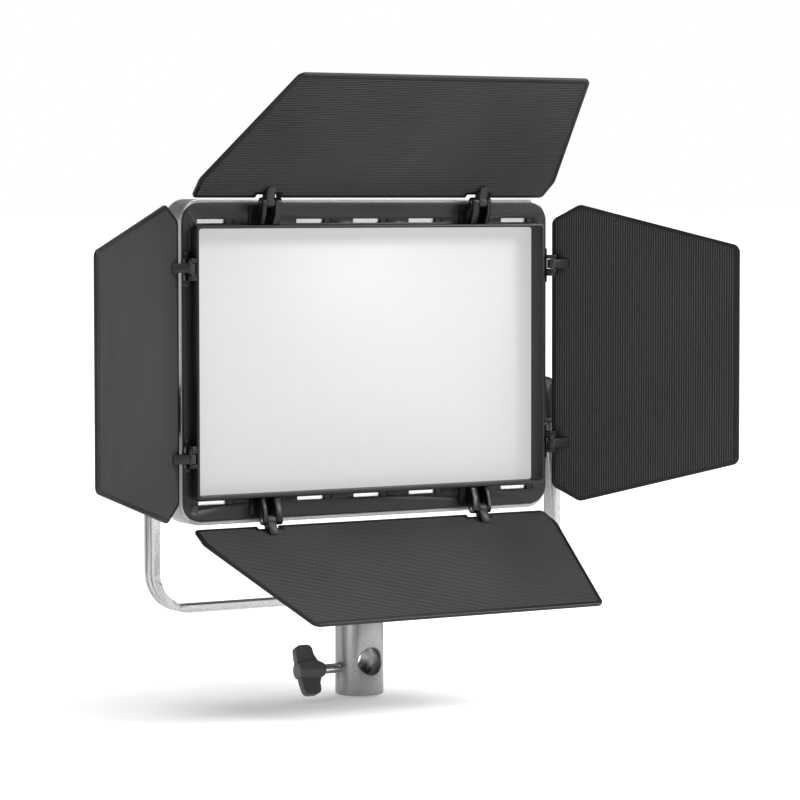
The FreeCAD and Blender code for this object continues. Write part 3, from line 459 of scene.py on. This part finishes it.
leaf_black, tree, shader = surface("leaf_black", (0.045, 0.045, 0.046), 0.42)
fine = speckle(tree, 1300)
slow = speckle(tree, 14)
tint(tree, shader, slow, (0.040, 0.040, 0.041), (0.050, 0.050, 0.051))
tree.links.new(spread(tree, slow, 0.38, 0.47), shader.inputs["Roughness"])
grain(tree, shader, fine, 0.03 * MM, 0.4)
# A near-black finish for every face but the ribs and the outer face: painted shade in the rib valleys and along
# the leaf's border and edges.
painted_edge_and_valley_shade = moulded("leaf_painted_edge_and_valley_shade", (0.004, 0.004, 0.0045), (0.007, 0.007, 0.0075), 0.4)


def pick(piece, kind, test):
    """In edit mode, select just the points, edges or faces that pass a test of their place."""
    bpy.ops.mesh.select_all(action="DESELECT")
    bpy.ops.mesh.select_mode(type=kind)
    bpy.ops.object.mode_set(mode="OBJECT")
    mesh = piece.data
    parts = {"VERT": mesh.vertices, "EDGE": mesh.edges, "FACE": mesh.polygons}[kind]
    for part in parts:
        part.select = test(part)
    bpy.ops.object.mode_set(mode="EDIT")


def bisect_all(spot, normal, clear=False, fill=False):
    """Cut the whole mesh along a plane, and drop what lies on the normal's side if asked."""
    bpy.ops.mesh.select_all(action="SELECT")
    bpy.ops.mesh.bisect(plane_co=spot, plane_no=normal, clear_outer=clear, use_fill=fill, threshold=1e-7)


def slant(x0, y0, x1, y1):
    """The outward normal of a leaf's right-hand edge that runs between two points."""
    return Vector((y1 - y0, x0 - x1, 0)).normalized()


def trim_sides(corners, inset):
    """Cut both ends of everything along a leaf's slanted sides, moved in by a margin."""
    for (x0, y0), (x1, y1) in zip(corners, corners[1:]):
        normal = slant(x0, y0, x1, y1)
        spot = Vector((x0, y0, 0)) - inset * normal
        bisect_all(spot, normal, clear=True, fill=True)
        mirrored = Vector((-normal.x, normal.y, 0))
        bisect_all(Vector((-spot.x, spot.y, 0)), mirrored, clear=True, fill=True)


def make_leaf(side):
    """The leaf's sheet with its rounded corners, notches, border and sunk field, in its own frame."""
    family, outward, lean = LEAF_SIDES[side]
    shape = LEAF_FAMILY[family]
    near, far = shape["start"] * MM, (shape["start"] + shape["length"]) * MM
    knee = near + shape["knee"] * MM
    halves = [0.5 * width * MM for width in shape["widths"]]
    corners = list(zip(halves, (near, knee, far)))
    inner = shape["offset"] * MM
    notch = shape["notch"] and shape["notch"] * MM
    bpy.ops.object.select_all(action="DESELECT")
    bpy.ops.mesh.primitive_plane_add(size=1, location=(0, (near + far) / 2, inner))
    leaf = bpy.context.object
    leaf.name = "leaf_%s_ribbed" % side
    leaf.scale = (2 * halves[1], far - near, 1)
    bpy.ops.object.transform_apply(location=True, scale=True)
    bpy.ops.object.mode_set(mode="EDIT")
    trim_sides(corners, 0)
    for level, radius, turn in ((near, 3 * MM, 85), (knee, 9 * MM, 25), (far, 6 * MM, 65)):
        pick(leaf, "VERT", lambda v: abs(v.co.y - level) < 0.01 * MM)
        bpy.ops.mesh.bevel(affect="VERTICES", offset=radius * math.tan(math.radians(turn / 2)), segments=7)
    if notch:
        for edge in (-notch_width / 2, notch_width / 2):
            bisect_all((-notch + edge, 0, 0), (1, 0, 0))
            bisect_all((notch + edge, 0, 0), (1, 0, 0))
        bisect_all((0, notch_reach, 0), (0, 1, 0))
        pick(leaf, "FACE", lambda f: f.center.y < notch_reach
             and abs(abs(f.center.x) - notch) < notch_width / 2)
        bpy.ops.mesh.delete(type="FACE")
        bpy.ops.mesh.select_all(action="SELECT")
        bpy.ops.mesh.dissolve_limited(angle_limit=math.radians(1))
    bpy.ops.mesh.select_all(action="SELECT")
    bpy.ops.mesh.extrude_region_move(TRANSFORM_OT_translate={"value": (0, 0, leaf_thick)})
    bpy.ops.mesh.select_all(action="SELECT")
    bpy.ops.mesh.normals_make_consistent(inside=False)
    bpy.ops.object.mode_set(mode="OBJECT")
    rounder = leaf.modifiers.new("edge", "BEVEL")
    rounder.width = edge_round
    rounder.segments = 3
    rounder.angle_limit = math.radians(50)
    bpy.ops.object.modifier_apply(modifier="edge")
    bpy.ops.object.mode_set(mode="EDIT")
    pick(leaf, "FACE", lambda f: f.normal.z < -0.99 and f.area > 0.001)
    bpy.ops.mesh.inset(thickness=border - edge_round, depth=0)
    bpy.ops.mesh.inset(thickness=0.15 * MM, depth=-rib_deep)
    bpy.ops.object.mode_set(mode="OBJECT")
    return leaf, corners, inner, notch


def make_ribs(corners, inner, notch):
    """Rows of low ribs over the sunk field, cut to its slanted ends and cleared round the notches."""
    (_, near), (_, _), (_, far) = corners
    first = near + border + 0.6 * MM
    count = int((far - border - 0.6 * MM - first) / rib_pitch) + 1
    widest = max(half for half, _ in corners)
    bpy.ops.object.select_all(action="DESELECT")
    bpy.ops.mesh.primitive_cube_add(size=1, location=(0, first, inner + rib_deep / 2 + rib_gap))
    ribs = bpy.context.object
    ribs.scale = (2 * widest, rib_base, rib_deep)
    bpy.ops.object.transform_apply(location=True, scale=True)
    bpy.ops.object.mode_set(mode="EDIT")
    pick(ribs, "FACE", lambda f: f.normal.z < -0.9)
    bpy.ops.transform.resize(value=(1, rib_top / rib_base, 1), center_override=(0, first, inner))
    bpy.ops.object.mode_set(mode="OBJECT")
    rows = ribs.modifiers.new("rows", "ARRAY")
    rows.use_relative_offset = False
    rows.use_constant_offset = True
    rows.constant_offset_displace = (0, rib_pitch, 0)
    rows.count = count
    bpy.ops.object.modifier_apply(modifier="rows")
    bpy.ops.object.mode_set(mode="EDIT")
    trim_sides(corners, border)
    if notch:
        for edge in (-notch_width / 2 - border, notch_width / 2 + border):
            bisect_all((-notch + edge, 0, 0), (1, 0, 0))
            bisect_all((notch + edge, 0, 0), (1, 0, 0))
        pick(ribs, "FACE", lambda f: f.center.y < notch_reach + border + rib_base / 2
             and abs(abs(f.center.x) - notch) < notch_width / 2 + border - 0.01 * MM)
        bpy.ops.mesh.delete(type="FACE")
        bpy.ops.mesh.select_all(action="DESELECT")
        bpy.ops.mesh.select_mode(type="EDGE")
        bpy.ops.mesh.select_non_manifold(extend=False)
        bpy.ops.mesh.edge_face_add()
    bpy.ops.object.mode_set(mode="OBJECT")
    return ribs


for side, (family, outward, lean) in LEAF_SIDES.items():
    leaf, corners, inner, notch = make_leaf(side)
    dress(leaf, painted_edge_and_valley_shade, leaf_black)
    # The outer face keeps the satin black; every other face of the sheet gets the painted shade finish.
    for face in leaf.data.polygons:
        face.material_index = int(face.normal.z > 0.99)
    ribs = make_ribs(corners, inner, notch)
    dress(ribs, leaf_black)
    bpy.ops.object.select_all(action="DESELECT")
    ribs.select_set(True)
    leaf.select_set(True)
    bpy.context.view_layer.objects.active = leaf
    bpy.ops.object.join()
    bpy.ops.object.shade_smooth_by_angle(angle=math.radians(35))
    flat = leaf.modifiers.new("flat", "WEIGHTED_NORMAL")
    flat.keep_sharp = True
    bpy.ops.object.modifier_apply(modifier="flat")
    tilt = math.radians(lean)
    along = math.cos(tilt) * FORWARD + math.sin(tilt) * outward
    normal = math.cos(tilt) * outward - math.sin(tilt) * FORWARD
    across = along.cross(normal)
    turn = Matrix((across, along, normal)).transposed().to_4x4()
    spot = Matrix.Translation(Vector(joint[side + "_leaf_hinge"]["pos_m"]))
    leaf.data.transform(spot @ turn)
    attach(leaf, side + "_leaf")
    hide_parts("leaf_" + side)

# ---------------------------------------------------------------- tilting bracket
# A flat aluminium bar bent to a U, with two grooves rolled along its outer face, blasted and
# anodised like the frame. Black spacers and lobed tilt knobs sit on its arms.

bracket_metal = blasted_metal("bracket_aluminium", (0.55, 0.555, 0.56), 0.42)
bracket = eased("yoke_bracket", 0.35 * MM)
dress(bracket, bracket_metal)
dress(eased("pivot_bosses", 0.5 * MM), hinge_black)
dress(frame["nodes"]["friction_washers"], hinge_black)
washer_steel = blasted_metal("washer_steel", (0.6, 0.6, 0.61), 0.26)
for side in ("left", "right"):
    dress(frame["nodes"]["tilt_stud_" + side], pin_steel)
    dress(eased("tilt_washer_" + side, 0.2 * MM), washer_steel)
    dress(eased("tilt_knob_" + side, 0.4 * MM), knob_rubber)

# ---------------------------------------------------------------- stand socket and its bolt
# A turned and blasted aluminium receiver with an upright bore and a cross bore, held under the
# bracket by a black socket-head bolt and a steel washer.

socket_metal = blasted_metal("socket_aluminium", (0.37, 0.375, 0.38), 0.4, depth=0.08 * MM)
receiver = eased("stand_socket", 0.5 * MM)
dress(receiver, socket_metal)
dress(eased("socket_washer", 0.2 * MM), washer_steel)
dress(eased("socket_bolt", 0.3 * MM), black_steel)

# ---------------------------------------------------------------- clamp screw
# A steel stud with a brass tip and a moulded grey grip with two wings.

stud_steel = blasted_metal("stud_steel", (0.7, 0.7, 0.71), 0.16, depth=0.02 * MM)
dress(eased("wing_stud", 0.2 * MM), stud_steel)
dress(frame["nodes"]["clamp_pad"], brass)
grip_grey = moulded("grip_grey", (0.09, 0.09, 0.092), (0.13, 0.13, 0.132), 0.42)
dress(eased("wing_grip", 1.6 * MM, steps=4), grip_grey)
